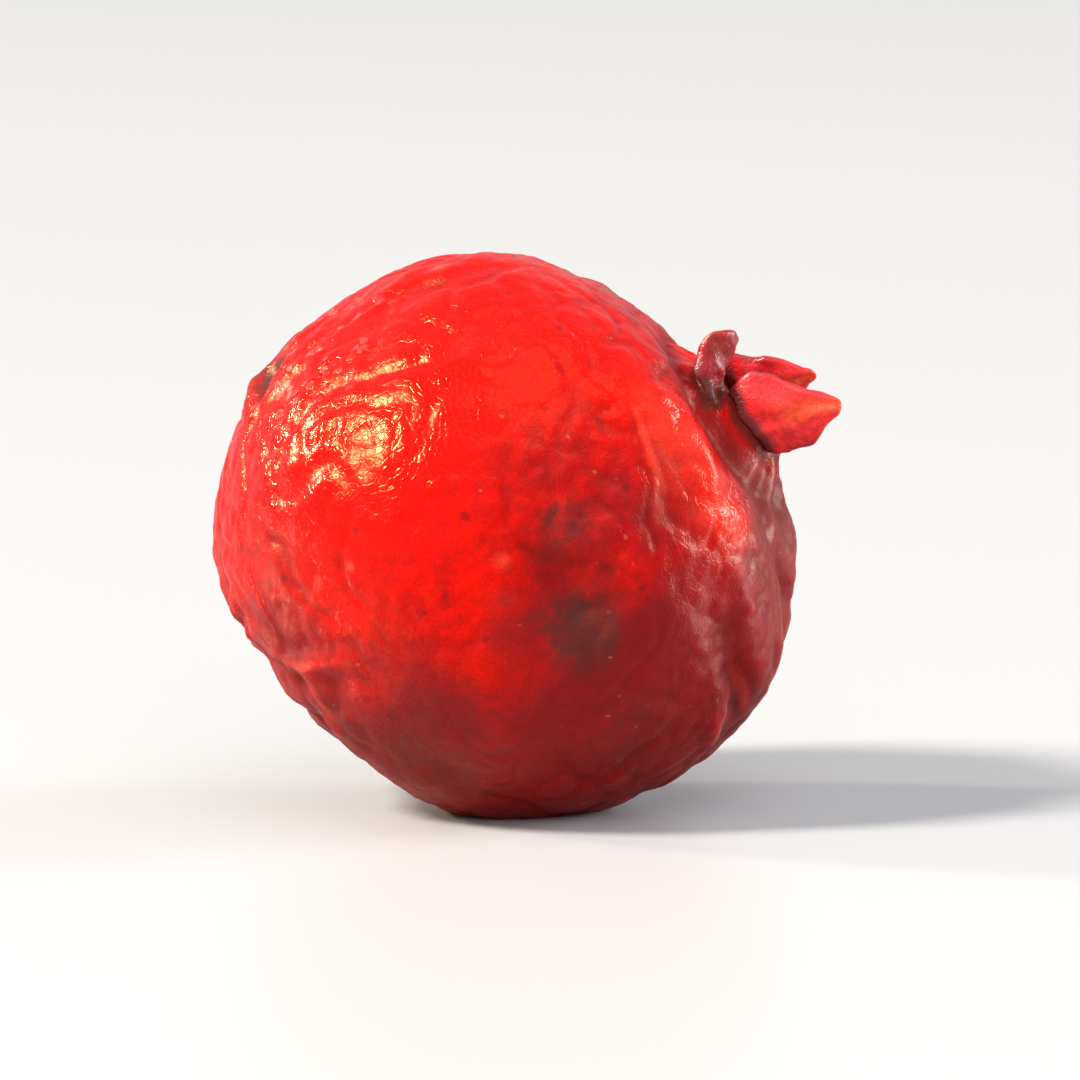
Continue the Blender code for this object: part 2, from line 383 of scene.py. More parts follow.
def gathers(direction, end, count, strongest_at, spread):
    """Fine folds that run in to one end of the berry, uneven round it."""
    side = end.orthogonal().normalized()
    other = end.cross(side)
    turn = math.atan2(direction.dot(other), direction.dot(side))
    out = direction.angle(end) * HALF_ACROSS
    fading = soft_noise(direction, GATHER_FADES_PER_RADIUS, end * 5)
    strength = GATHER_STRENGTH[0] + GATHER_STRENGTH[1] * fading
    bend = GATHER_BEND * soft_noise(direction, GATHER_BENDS_PER_RADIUS)
    wave = math.cos(count * turn + bend)
    return GATHER_HEIGHT * strength * wave * bell(out - strongest_at, spread)


print("folds at the two ends:", CALYX_GATHERS, STEM_GATHERS)

# %% [markdown]
# ## Wrinkles
#
# Thin skin over shrunken flesh wrinkles at every size. A wandering line comes free with any noise: it is
# where the noise passes through zero. Two such sets of lines, wide and narrow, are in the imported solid
# too. They are deeper in some patches than in others.

# %% Wrinkles
WIDE_WRINKLE_DEPTH = 0.09 * MM
WIDE_WRINKLES_PER_RADIUS = 3.4
WIDE_WRINKLE_WIDTH = 0.10  # in the noise's own units, as the narrow one's is
NARROW_WRINKLE_DEPTH = 0.055 * MM
NARROW_WRINKLES_PER_RADIUS = 6.1
NARROW_WRINKLE_WIDTH = 0.13
WRINKLE_STRENGTH = (0.65, 0.8)  # how strong they are, and how far that varies
WRINKLE_PATCHES_PER_RADIUS = 1.7


def wrinkles(direction):
    """Shallow lines along the zero contours of two noises, deeper in some patches than in others."""
    patchy = soft_noise(direction, WRINKLE_PATCHES_PER_RADIUS, (4, 1, 7))
    strength = max(0.0, WRINKLE_STRENGTH[0] + WRINKLE_STRENGTH[1] * patchy)
    wide = bell(soft_noise(direction, WIDE_WRINKLES_PER_RADIUS), WIDE_WRINKLE_WIDTH)
    narrow = soft_noise(direction, NARROW_WRINKLES_PER_RADIUS, (2, 8, 3))
    depth = WIDE_WRINKLE_DEPTH * wide + NARROW_WRINKLE_DEPTH * bell(narrow, NARROW_WRINKLE_WIDTH)
    return -strength * depth


print("deepest where two wrinkles cross, mm:", round((WIDE_WRINKLE_DEPTH + NARROW_WRINKLE_DEPTH) / MM, 3))

# %% [markdown]
# ## The leathery grain
#
# Finer than the wrinkles, and only here: thin drawn-out threads that follow the fruit from end to end,
# small cushions with grooves between them, like the grain of leather, and a soft cobbling. Together they
# break every highlight into a cluster of small glints. A groove lies where two neighbouring cells of
# scattered points meet. The grain is strongest where the skin was scuffed, at the upper left, and in one
# place at the lower right.

# %% The leathery grain
SCUFFED = toward(-68, 40)
SCUFF_WIDTH = math.radians(15)
ROUGH_BELOW = toward(70, -34)
ROUGH_BELOW_WIDTH = math.radians(24)
GRAIN_STRENGTH = (0.75, 0.7)  # how strong it is, and how far that varies
GRAIN_PATCHES_PER_RADIUS = 2.1
GRAIN_ON_SCUFFED = 0.9  # how much stronger on each of the two places
GRAIN_ON_ROUGH_BELOW = 0.4


def grain_strength(direction):
    """How strong the grain is at a place."""
    scuffed = bell(direction.angle(SCUFFED), SCUFF_WIDTH)
    below = bell(direction.angle(ROUGH_BELOW), ROUGH_BELOW_WIDTH)
    patchy = soft_noise(direction, GRAIN_PATCHES_PER_RADIUS, (9, 4, 1))
    strength = GRAIN_STRENGTH[0] + GRAIN_STRENGTH[1] * patchy
    return strength + GRAIN_ON_SCUFFED * scuffed + GRAIN_ON_ROUGH_BELOW * below


print("the grain's strength on the scuffed place:", round(grain_strength(SCUFFED), 2))

# %% Cobbling, cushions and threads
COBBLE_HEIGHT = 0.026 * MM
COBBLES_PER_RADIUS = 11
FINE_COBBLE_HEIGHT = 0.010 * MM
FINE_COBBLES_PER_RADIUS = 24
CUSHION_HEIGHT = 0.034 * MM
CUSHIONS_PER_RADIUS = 9
CUSHION_BEND = 0.45
BENDS_PER_CUSHION = 0.8
CUSHION_GROOVE_WIDTH = 0.22
THREAD_DEPTH = 0.012 * MM
THREADS_PER_RADIUS = 12
THREAD_WIDTH = 0.20
FINE_THREAD_SHARE = 0.7  # their depth as a share of the other threads'
FINE_THREADS_PER_RADIUS = 19
FINE_THREAD_WIDTH = 0.26
DRAWN_OUT = 0.7  # how far the threads are stretched from end to end


def cushions(direction):
    """1 on a small cushion of skin, 0 in the grooves between them."""
    place = direction * CUSHIONS_PER_RADIUS
    bent = CUSHION_BEND * soft_noise(place, BENDS_PER_CUSHION, (7, 7, 1))
    nearest, second = noise.voronoi(place + Vector((bent, -bent, bent)))[0][:2]
    return 1 - bell(second - nearest, CUSHION_GROOVE_WIDTH)


def leathery_grain(direction):
    drawn_out = direction - DRAWN_OUT * direction.dot(CALYX_END) * CALYX_END
    threads = bell(soft_noise(drawn_out, THREADS_PER_RADIUS, (5, 2, 6)), THREAD_WIDTH)
    fine_threads = bell(soft_noise(drawn_out, FINE_THREADS_PER_RADIUS, (1, 7, 3)), FINE_THREAD_WIDTH)
    threads += FINE_THREAD_SHARE * fine_threads
    return grain_strength(direction) * (
        COBBLE_HEIGHT * soft_noise(direction, COBBLES_PER_RADIUS, (3, 3, 9))
        + FINE_COBBLE_HEIGHT * soft_noise(direction, FINE_COBBLES_PER_RADIUS, (6, 1, 2))
        + CUSHION_HEIGHT * (cushions(direction) - 1)
        - THREAD_DEPTH * threads
    )


print("the grain in front, mm:", round(leathery_grain(toward(0, 0)) / MM, 3))

# %% [markdown]
# ## How far out the skin lies
#
# The heights are added to a plain ball that is a little shorter from end to end than across. The grain
# comes on top of them when the body is grown, so that the lobes stand on the smoother skin below it.
#
# The plump berry, with its broad rises and hollows alone, is kept apart: how far the finished skin lies
# under or over it tells the finish later what is a fold and what is a crest. The wrinkles fade out toward
# the calyx, where the collar takes over.

# %% How far out the skin lies
WRINKLES_FADE_IN = (0.45, 0.8)  # from the calyx's middle, as shares of its width


def plump_radius(direction):
    """The berry with its broad rises and hollows only, before any crease or wrinkle."""
    along = direction.dot(CALYX_END)
    across = math.sqrt(max(0.0, 1 - along * along))
    return 1 / math.hypot(across / HALF_ACROSS, along / (BERRY_LENGTH / 2)) + swells(direction)


def skin_radius(direction):
    """How far the skin lies from the berry's middle in a direction."""
    wandered = wandering(direction)
    radius = plump_radius(direction) + creases(wandered)
    radius += gathers(wandered, CALYX_END, CALYX_GATHERS, CALYX_GATHERS_OUT, CALYX_GATHERS_SPREAD)
    radius += gathers(wandered, STEM_END, STEM_GATHERS, STEM_GATHERS_OUT, STEM_GATHERS_SPREAD)
    radius += blossom_end(direction) + stem_dimple(direction)
    first, full = (share * CALYX_ACROSS for share in WRINKLES_FADE_IN)
    return radius + smooth_step(first, full, from_calyx(direction)) * wrinkles(direction)


print("from the middle to the skin in front, mm:", round(skin_radius(toward(0, 0)) / MM, 2))

# %% [markdown]
# ## Bruises and painted shade
#
# Where the flesh sank furthest the skin rests on dark flesh and looks brown instead of red. Some spots are
# painted shade as well: the dark place in the front dimple and the pit at the upper left are darkened
# partly as shade in those hollows, and the spots just below the middle and toward the bottom darken the
# lower half as shade would. Those places could be painted as a picture. Here they are kept as a number
# from 0 to 1 on every point of the mesh, and the finish reads that number later, so they stay in place on
# the berry from every side.

# %% Bruises and painted shade: longitude, latitude, half-width in degrees, strength
BRUISES_AND_SHADE = placed_spots([
    # The dark place in the front dimple: darker skin, partly painted shade in the hollow.
    (15, -13, 11, 1.1),  # the dark place at the middle of the front
    (11, 10, 7, 0.75),
    # This row and the next darken just below and left of the middle: painted shade.
    (0, -6, 6, 0.45),
    (-35, -19, 13, 0.3),
    # The pit's dark spots are partly painted shade in the pit.
    (-82, 36, 8, 1.0),  # round the pit at the upper left
    (-88, 44, 6, 0.7),
    # These four rows darken the lower half: painted shade toward the bottom.
    (-48, -38, 12, 0.45),
    (74, -30, 16, 0.6),
    (30, -40, 15, 0.5),
    (-26, -50, 24, 0.55),
    (140, 6, 22, 0.8),  # this row and the rest are on the back
    (-165, -20, 18, 0.6),
    (-130, 34, 12, 0.5),
    (120, 60, 14, 0.5),
])
BORDER_RAGGEDNESS = 0.8
BORDER_WAVES_PER_RADIUS = 4.3


def marks(direction, spots):
    """The strongest of some spots at a place, with a ragged border round each one."""
    strength = 0.0
    for place, pattern, width, share in spots:
        ragged = 1 + BORDER_RAGGEDNESS * soft_noise(direction, BORDER_WAVES_PER_RADIUS, pattern)
        strength = max(strength, share * bell(direction.angle(place), width * ragged))
    return strength


print("bruises:", len(BRUISES_AND_SHADE))

# %% [markdown]
# ## Pale streaks and spots, with painted sheen and glints
#
# Skin that is pulled tight over a ridge or along a fold turns paler, because there is less pigment over
# each bit of flesh. The streaks on the shoulder ridge, on the forked fold and on the cheek under the calyx
# are also painted sheen, where those ridges catch the light. The pale spots in front and on top are
# painted glints; those at the back are old scars. All are kept as one number on the points, so that one
# colour serves them all.

# %% Pale streaks and painted sheen: from and to as longitude and latitude, half-width in millimetres, strength
STREAKS_AND_SHEEN = placed_arcs([
    ((28, 42), (56, -5), 1.10, 0.8),  # the shoulder ridge
    ((30, 38), (35, 7), 0.20, 0.9),
    ((40, 40), (49, 8), 0.20, 0.9),
    ((43, 30), (54, -2), 0.30, 1.1),
    ((-66, -20), (-34, -24), 0.20, 0.6),  # the forked fold
    ((-43, -22), (-57, -50), 0.20, 0.5),
    ((52, -14), (84, -36), 0.22, 0.7),  # the cheek under the calyx
    ((62, -22), (66, -44), 0.18, 0.6),
    ((74, -6), (92, -28), 0.22, 0.7),
    ((120, 22), (140, -16), 0.40, 0.35),  # this row and the rest are on the back
    ((-138, 18), (-162, 38), 0.40, 0.3),
    ((156, 34), (172, 8), 0.40, 0.3),
])
STREAK_UNEVENNESS = 0.8
STREAK_WAVES_PER_RADIUS = 7


def streaks(direction):
    """1 along the pale streaks and their painted sheen, fading to both sides and toward their ends."""
    strength = 0.0
    for start, run, half_width, share_of_pale in STREAKS_AND_SHEEN:
        share, beside = beside_arc(direction, start, run)
        along = share_of_pale * math.sin(math.pi * share)
        strength = max(strength, along * bell(beside / half_width, 1.0))
    return strength * (1 + STREAK_UNEVENNESS * soft_noise(direction, STREAK_WAVES_PER_RADIUS))


# %% Pale spots and painted glints: longitude, latitude, half-width in degrees, strength
PALE_SCARS_AND_GLINTS = placed_spots([
    (-31, 0, 1.5, 0.9),
    (0, 2, 1.9, 0.6),
    (-44, 72, 2.2, 0.8),
    (-36, -3, 1.0, 0.5),
    (158, 30, 1.8, 0.6),
    (-120, 52, 1.6, 0.6),
])
print("pale streaks:", len(STREAKS_AND_SHEEN), "pale spots:", len(PALE_SCARS_AND_GLINTS))

# %% [markdown]
# ## The bright side and the deep red side
#
# The fruit ripened unevenly: the side toward the sun stayed bright scarlet, the other side turned deep
# red, and the border between them is ragged. The deep side is also painted shade: the sunny place lies
# toward the main light, so the bottom and the right, which turn away from it, are painted darker. A few
# deep red patches lie in front as well; they are painted shade right of the middle, just below it and at
# the lower left. The angle from the sunny place, pushed about by slow noise, gives the border.

# %% The deep red side and its patches, partly painted shade: longitude, latitude, half-width in degrees, strength
SUN_AND_LIGHT_SIDE = toward(-40, 62)
RIPE_AND_SHADE_BORDER = (math.radians(71), math.radians(97))
RIPE_AND_SHADE_BORDER_WANDER = 0.3
RIPE_AND_SHADE_BORDER_WAVES = 2.6
DEEP_AND_SHADED_PATCHES = placed_spots([
    (28, 11, 17, 0.6),
    (12, 22, 10, 0.55),
    (1, -13, 9, 0.8),
    (-27, -20, 11, 0.75),
    (-54, -20, 20, 1.0),
])


def ripeness_and_shade(direction):
    """0 on the bright side toward the sun and the main light, 1 on the deep red side, partly painted
    shade, with a ragged border.
    """
    wander = RIPE_AND_SHADE_BORDER_WANDER * soft_noise(direction, RIPE_AND_SHADE_BORDER_WAVES)
    far_side = smooth_step(*RIPE_AND_SHADE_BORDER, direction.angle(SUN_AND_LIGHT_SIDE) + wander)
    return max(far_side, marks(direction, DEEP_AND_SHADED_PATCHES))


print("ripeness in front, from 0 to 1:", round(ripeness_and_shade(toward(0, 0)), 2))

# %% [markdown]
# ## The skin of the body
#
# A ball made from a cube has no poles, so its faces are nearly the same size all over and a fine wrinkle
# is as sharp on the front as at the ends. Each point is then moved in or out to where the skin lies, and
# takes along the six numbers that the finish needs.

# %% A ball made from a cube
def add_piece(name, shape):
    """A new object made from a bmesh, linked to the scene."""
    mesh = bpy.data.meshes.new(name)
    shape.to_mesh(mesh)
    shape.free()
    piece = bpy.data.objects.new(name, mesh)
    bpy.context.scene.collection.objects.link(piece)
    return piece


def even_ball(cuts):
    """A cube cut into small squares and blown up to a unit ball."""
    ball = bmesh.new()
    bmesh.ops.create_cube(ball, size=2)
    bmesh.ops.subdivide_edges(ball, edges=ball.edges, cuts=cuts, use_grid_fill=True)
    for vertex in ball.verts:
        evened = Vector([math.tan(part * math.pi / 4) for part in vertex.co])
        vertex.co = evened.normalized()
    return ball


# %% Grow the body
CUBE_CUTS = 111
GRAIN_FADES_IN = (0.5, 0.75)  # from the calyx's middle, as shares of its width
STEM_MARK_WIDTH = 0.75 * STEM_SCAR_ACROSS
SKIN_NUMBERS = ("relief", "bruise_and_shade", "streak", "scuffed", "ripeness_and_shade", "stem_mark")


def grow_body():
    ball = even_ball(CUBE_CUTS)
    kept = {name: ball.verts.layers.float.new(name) for name in SKIN_NUMBERS}
    first, full = (share * CALYX_ACROSS for share in GRAIN_FADES_IN)
    for vertex in ball.verts:
        direction = vertex.co.copy()
        bare = smooth_step(first, full, from_calyx(direction))
        radius = skin_radius(direction) + bare * leathery_grain(direction)
        # pale: tight skin and painted sheen along the streaks, pale scars and painted glints at the spots
        pale = max(streaks(wandering(direction)), marks(direction, PALE_SCARS_AND_GLINTS))
        vertex.co = direction * radius
        vertex[kept["relief"]] = (radius - plump_radius(direction)) / MM
        vertex[kept["bruise_and_shade"]] = marks(direction, BRUISES_AND_SHADE)
        vertex[kept["streak"]] = pale
        vertex[kept["scuffed"]] = bell(direction.angle(SCUFFED), SCUFF_WIDTH)
        vertex[kept["ripeness_and_shade"]] = ripeness_and_shade(direction)
        vertex[kept["stem_mark"]] = bell(from_stem(direction), STEM_MARK_WIDTH)
    return add_piece("berry_skin", ball)


body = grow_body()
print("faces of the body:", len(body.data.polygons))

# %% [markdown]
# ## The calyx lobes
#
# Each lobe is a small dried leaf: thick at its root, thin and pointed at its tip, curled as it dried, with
# an uneven margin and a fold down its middle. A flattened ball that is bent along its length has a closed
# surface, a round margin and a point, and a few numbers say how long, wide and curled each one is. Noise
# along and across the lobe makes the margin and the face uneven.

# %% The four lobes: place round the collar, length, width, lean, curl, sway, twist, darkness
# Places and angles are in degrees, lengths in millimetres, and darkness goes from 0 to 1.
LOBES = [
    (42, 2.0, 2.5, 40, 40, -0.1, 85, 0.7),  # short, bent back over the shoulder
    (106, 3.0, 2.6, 8, -12, 0.7, 12, 0.0),  # the long one in front
    (192, 2.0, 2.0, -6, -50, 0.2, -20, 0.5),  # curled in over the cup
    (282, 2.7, 2.4, 6, -24, -0.5, -25, 0.2),
]
LOBE_THICKNESS = 0.7 * MM
LOBE_ROOT_DEPTH = 0.55 * MM
LOBE_RIPPLE = 0.12 * MM
LOBE_ROOT_WIDTH = 1.3  # width at the root as a share of the lobe's own width
LOBE_NARROWING = 0.85
LOBE_ROOT_FULLNESS = 0.62  # half the thickness at the root, as a share of the lobe's own
LOBE_THINNING = 0.2
LOBE_WAVINESS = 0.3
LOBE_FINE_WAVINESS = 0.06
LOBE_CUPPING = 0.11 * MM
MIDDLE_FOLD = 0.07 * MM
MIDDLE_FOLD_WIDTH = 0.16
VEIN_HEIGHT = 0.022 * MM
MARGIN_WAVES = (1.3, 4.2, 3.7)  # across a lobe, along it, and from lobe to lobe
FINE_MARGIN_WAVES = (3, 13, 5.1)
VEIN_WAVES = (7, 2.2, 2.9)
RIPPLE_WAVES = (3.0, 4, 2)  # from lobe to lobe, along it, and across it
print("longest lobe, mm:", max(length for place, length, *others in LOBES))

# %% Helpers for the shape of one lobe
def lobe_root(turn):
    """Where a lobe stands on the collar, with the directions away from the cup and along the collar."""
    up = (Vector((0, 0, 1)) - CALYX_END * CALYX_END.z).normalized()
    near = CALYX_END.cross(up)
    outward = math.cos(turn) * up + math.sin(turn) * near
    on_ring = (CALYX_END + outward * (CALYX_ACROSS / BERRY_ACROSS)).normalized()
    root = on_ring * (skin_radius(on_ring) - LOBE_ROOT_DEPTH)
    return root, outward, CALYX_END.cross(outward)


def waves(steps, *place):
    """Noise at a place that three measures give, with its own number of waves along each of them."""
    return noise.noise(Vector([part * step for part, step in zip(place, steps)]))


def lobe_half_width(number, side, share, width):
    """How far a point lies from the lobe's middle line, with the wavy margin."""
    wave = waves(MARGIN_WAVES, side, share, number)
    fine_wave = waves(FINE_MARGIN_WAVES, side, share, number)
    tapered = width / 2 * (LOBE_ROOT_WIDTH - LOBE_NARROWING * share)
    return side * tapered * (1 + LOBE_WAVINESS * wave + LOBE_FINE_WAVINESS * fine_wave)


def lobe_surface(number, side, face, share, half_width, width):
    """How far a point lies off the lobe's flat middle, with its cupping, ripples, fold and veins."""
    out = face * LOBE_THICKNESS * (LOBE_ROOT_FULLNESS - LOBE_THINNING * share)
    out -= LOBE_CUPPING * (2 * half_width / width) ** 2
    out += LOBE_RIPPLE * waves(RIPPLE_WAVES, number, share, side)
    out -= face * MIDDLE_FOLD * bell(side, MIDDLE_FOLD_WIDTH)
    out += face * VEIN_HEIGHT * waves(VEIN_WAVES, side, share, number)
    return out


# %% Grow the lobes
LOBE_NUMBERS = ("lobe_along", "lobe_across", "lobe_darkness")


def grow_lobe(number, place, length, width, lean, curl, sway, twist, darkness):
    ball = bmesh.new()
    along_kept, across_kept, dark_kept = (ball.verts.layers.float.new(name) for name in LOBE_NUMBERS)
    bmesh.ops.create_uvsphere(ball, u_segments=64, v_segments=48, radius=1.0)
    root, outward, sideways = lobe_root(math.radians(place))
    length, width, lean, curl = length * MM, width * MM, math.radians(lean), math.radians(curl)
    for vertex in ball.verts:
        side, face = vertex.co.x, vertex.co.y
        share = (vertex.co.z + 1) / 2
        vertex[along_kept] = share
        vertex[across_kept] = side
        vertex[dark_kept] = darkness
        half_width = lobe_half_width(number, side, share, width)
        out = lobe_surface(number, side, face, share, half_width, width)
        twisted = math.radians(twist) * share
        off_side = half_width * math.cos(twisted) - out * math.sin(twisted)
        off_face = half_width * math.sin(twisted) + out * math.cos(twisted)
        angle = lean + curl * share
        rise = length * (math.sin(angle) - math.sin(lean)) / curl
        reach = length * (math.cos(lean) - math.cos(angle)) / curl
        vertex.co = (
            root
            + CALYX_END * (rise - math.sin(angle) * off_face)
            + outward * (reach + math.cos(angle) * off_face)
            + sideways * (off_side + sway * MM * share * share)
        )
    bmesh.ops.recalc_face_normals(ball, faces=ball.faces)
    return add_piece(f"lobe_{number}", ball)


lobes = [grow_lobe(number, *facts) for number, facts in enumerate(LOBES, start=1)]
print("lobes:", len(lobes), "faces each:", len(lobes[0].data.polygons))

# %% [markdown]
# ## One grown piece
#
# The lobes grew out of the collar, so there is no edge where they meet. Joining the meshes without more
# would leave faces inside. A Boolean union cuts those away and makes one closed skin, and each face
# keeps the finish that it came with.

# %% Join the lobes to the body
skin_finish = bpy.data.materials.new("dried_cranberry_skin")
lobe_finish = bpy.data.materials.new("dried_calyx_lobe")
body.data.materials.append(skin_finish)
lobe_group = bpy.data.collections.new("calyx_lobes")
bpy.context.scene.collection.children.link(lobe_group)
for lobe in lobes:
    lobe.data.materials.append(lobe_finish)
    bpy.context.scene.collection.objects.unlink(lobe)
    lobe_group.objects.link(lobe)

union = body.modifiers.new("join_lobes", "BOOLEAN")
union.operation = "UNION"
union.operand_type = "COLLECTION"
union.collection = lobe_group
union.solver = "MANIFOLD"
union.material_mode = "TRANSFER"
joined = bpy.data.meshes.new_from_object(
    body.evaluated_get(bpy.context.evaluated_depsgraph_get())
)
body.modifiers.remove(union)
body.data = joined
body.name = "cranberry_whole"
for lobe in lobes:
    bpy.data.objects.remove(lobe, do_unlink=True)
bpy.data.collections.remove(lobe_group)
print("finishes on the joined piece:", [finish.name for finish in joined.materials])
print("faces of the joined piece:", len(joined.polygons))

# %% [markdown]
# ## A soft seam
#
# The union leaves a hard inner corner round each root, which no grown thing has. A bevel needs an even
# edge, and this one is ragged. So the points close to the seam are averaged with their neighbours a few
# times, which turns the corner into a small fillet. The distance to the seam is kept as one more
# number, for the painted shadow that darkens the narrow gap round each root.

# %% Soften the seam
FILLET_REACH = 0.32 * MM
FILLET_PASSES = 7
FILLET_PULL = 0.5
ROOT_SHADOW_WIDTH = 0.35 * MM

shape = bmesh.new()
shape.from_mesh(body.data)
seam = [
    vertex
    for vertex in shape.verts
    if len({face.material_index for face in vertex.link_faces}) > 1
]
seam_tree = kdtree.KDTree(len(seam))
for index, vertex in enumerate(seam):
    seam_tree.insert(vertex.co, index)
seam_tree.balance()
root_shadow_kept = shape.verts.layers.float.new("root_shadow_line")
near_seam = []
for vertex in shape.verts:
    distance = seam_tree.find(vertex.co)[2]
    vertex[root_shadow_kept] = bell(distance, ROOT_SHADOW_WIDTH)
    if distance < FILLET_REACH:
        near_seam.append(vertex)
for _ in range(FILLET_PASSES):
    bmesh.ops.smooth_vert(
        shape,
        verts=near_seam,
        factor=FILLET_PULL,
        use_axis_x=True,
        use_axis_y=True,
        use_axis_z=True,
    )
print("points on the seam:", len(seam), "softened:", len(near_seam))

# %% [markdown]
# ## The foot, and the berry's place
#
# A dried berry settles on a small flat spot. A plane could cut the spot, but would leave a sharp rim. So
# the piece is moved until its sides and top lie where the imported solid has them, and the points below
# the floor are then pressed up to it with a soft curve.

# %% Set the berry in place and press its foot flat
FOOT_SOFTNESS = 0.03 * MM


def span(points, axis):
    values = [point.co[axis] for point in points]
    return min(values), max(values)


left, right = span(shape.verts, 0)
front, back = span(shape.verts, 1)
bottom, top = span(shape.verts, 2)
middle = (LOW + HIGH) / 2
shift = Vector((middle.x - (left + right) / 2, middle.y - (front + back) / 2, HIGH.z - top))
shape.transform(Matrix.Translation(shift))
for vertex in shape.verts:
    height = vertex.co.z
    vertex.co.z = (height + math.hypot(height, FOOT_SOFTNESS)) / 2
print("moved by, mm:", [round(part / MM, 3) for part in shift])
print("sunk into the floor before pressing, mm:", round(-(bottom + shift.z) / MM, 3))

# %% Keep the form
shape.normal_update()
shape.to_mesh(body.data)
shape.free()
body.data.shade_smooth()
print("triangles:", sum(len(face.vertices) - 2 for face in body.data.polygons))

# %% [markdown]
# ## Building finishes from nodes
#
# A finish is a small graph of nodes. It could be wired by hand in the shader editor. A few helpers keep
# it short here: each adds one node or two, and feeds them with numbers or from other nodes. Everything
# is measured in millimetres on the berry itself, so a pore stays a pore however large the picture is.

# %% Helpers that add one node
LAYOUT_STEP = 190
NODES_PER_ROW = 9


def feed(tree, socket, value):
    """Links an input to another node's output, or sets it to a value."""
    if isinstance(value, bpy.types.NodeSocket):
        tree.links.new(value, socket)
    else:
        socket.default_value = value


def add_node(tree, kind, label, **values):
    """A node with its inputs fed by name. An underscore in a name stands for a space."""
    row, column = divmod(len(tree.nodes), NODES_PER_ROW)
    made = tree.nodes.new(kind)
    made.label = label
    made.location = (LAYOUT_STEP * column, -LAYOUT_STEP * row)
    for name, value in values.items():
        feed(tree, made.inputs[name.replace("_", " ")], value)
    return made


# %% Helpers that mix colours and change values
def add_mix(tree, label, share, first, second, blend="MIX"):
    """Mixes two colours."""
    mix = add_node(tree, "ShaderNodeMix", label)
    mix.data_type = "RGBA"
    mix.blend_type = blend
    for index, value in ((0, share), (6, first), (7, second)):
        feed(tree, mix.inputs[index], value)
    return mix.outputs[2]


def add_range(tree, label, value, low, high, to_low=0.0, to_high=1.0):
    """Turns the range low..high of a value into to_low..to_high, with soft ends, and stops there."""
    ramp = add_node(
        tree,
        "ShaderNodeMapRange",
        label,
        Value=value,
        From_Min=low,
        From_Max=high,
        To_Min=to_low,
        To_Max=to_high,
    )
    ramp.interpolation_type = "SMOOTHSTEP"
    return ramp.outputs["Result"]


def add_math(tree, label, operation, first, second):
    made = add_node(tree, "ShaderNodeMath", label)
    made.operation = operation
    feed(tree, made.inputs[0], first)
    feed(tree, made.inputs[1], second)
    return made.outputs[0]


# %% Helpers for places, patterns, kept numbers and glazes
def place_in_mm(tree):
    """Where a point is on the berry, in millimetres."""
    where = add_node(tree, "ShaderNodeTexCoord", "where on the berry")
    scale = add_node(tree, "ShaderNodeVectorMath", "in millimetres")
    scale.operation = "SCALE"
    feed(tree, scale.inputs["Scale"], 1 / MM)
    feed(tree, scale.inputs[0], where.outputs["Object"])
    return scale.outputs["Vector"]


def add_noise(tree, label, place, per_unit, **values):
    """A cloudy pattern with so many clouds per unit of the place."""
    return add_node(
        tree, "ShaderNodeTexNoise", label, Vector=place, Scale=per_unit, **values
    ).outputs


def kept_value(tree, name):
    """A number that was kept on the mesh's points."""
    kept = add_node(tree, "ShaderNodeAttribute", name)
    kept.attribute_name = name
    return kept.outputs["Fac"]


def lay_on(tree, label, colour, layer, mask, strongest=1.0):
    """Lays a colour over what is there, where a mask says, and at most as strongly as given."""
    if strongest < 1:
        mask = add_math(tree, label + ", how strongly", "MULTIPLY", mask, strongest)
    return add_mix(tree, label, mask, colour, layer)

# %% [markdown]
# ## Effects that the skin and the lobes share
#
# Skin and lobes dried under the same air, so some effects are on both: pigment that gathered in patches,
# and fine pores that scatter the shine. Small specks come in three kinds on the skin. Each effect is
# built once, as a group of nodes with named inputs and outputs, and gets its own sizes where it is used.

# %% Helpers that make and place a group
def new_group(name, inputs, outputs):
    """An empty group of nodes, what it is given, and what it hands on, both by name."""
    group = bpy.data.node_groups.new(name, "ShaderNodeTree")
    for socket_name, kind, value in inputs:
        made = group.interface.new_socket(socket_name, in_out="INPUT", socket_type=kind)
        if value is not None:
            made.default_value = value
    for socket_name in outputs:
        group.interface.new_socket(socket_name, in_out="OUTPUT", socket_type="NodeSocketFloat")
    given = add_node(group, "NodeGroupInput", "given")
    handed_on = add_node(group, "NodeGroupOutput", "handed on")
    return group, given.outputs, handed_on.inputs


def place_group(tree, group, place, **values):
    """Puts a group into a finish and gives it the place in millimetres and its own values."""
    made = add_node(tree, "ShaderNodeGroup", group.name)
    made.node_tree = group
    feed(tree, made.inputs["Place"], place)
    for name, value in values.items():
        feed(tree, made.inputs[name.replace("_", " ")], value)
    return made.outputs


# %% Pigment in patches
GRAINS_PER_PATCH = 5.5

pigment, given, handed_on = new_group(
    "pigment_patches",
    [("Place", "NodeSocketVector", None), ("Patch Size", "NodeSocketFloat", 2.0)],
    ["Patches", "Grain"],
)
per_mm = add_math(pigment, "patches per millimetre", "DIVIDE", 1.0, given["Patch Size"])
broad = add_noise(
    pigment, "broad patches", given["Place"], per_mm, Detail=3.0, Roughness=0.55, Distortion=0.6
)
grains_per_mm = add_math(pigment, "grains per millimetre", "MULTIPLY", per_mm, GRAINS_PER_PATCH)
grain = add_noise(pigment, "fine grain", given["Place"], grains_per_mm, Detail=2.0, Roughness=0.6)
feed(pigment, handed_on["Patches"], add_range(pigment, "patches", broad["Fac"], 0.38, 0.62))
feed(pigment, handed_on["Grain"], add_range(pigment, "grain", grain["Fac"], 0.36, 0.66))

# %% Pores
CELLS_PER_PORE = 1.1
GROOVE_DEPTH = 0.45  # as a share of the height of the swelling

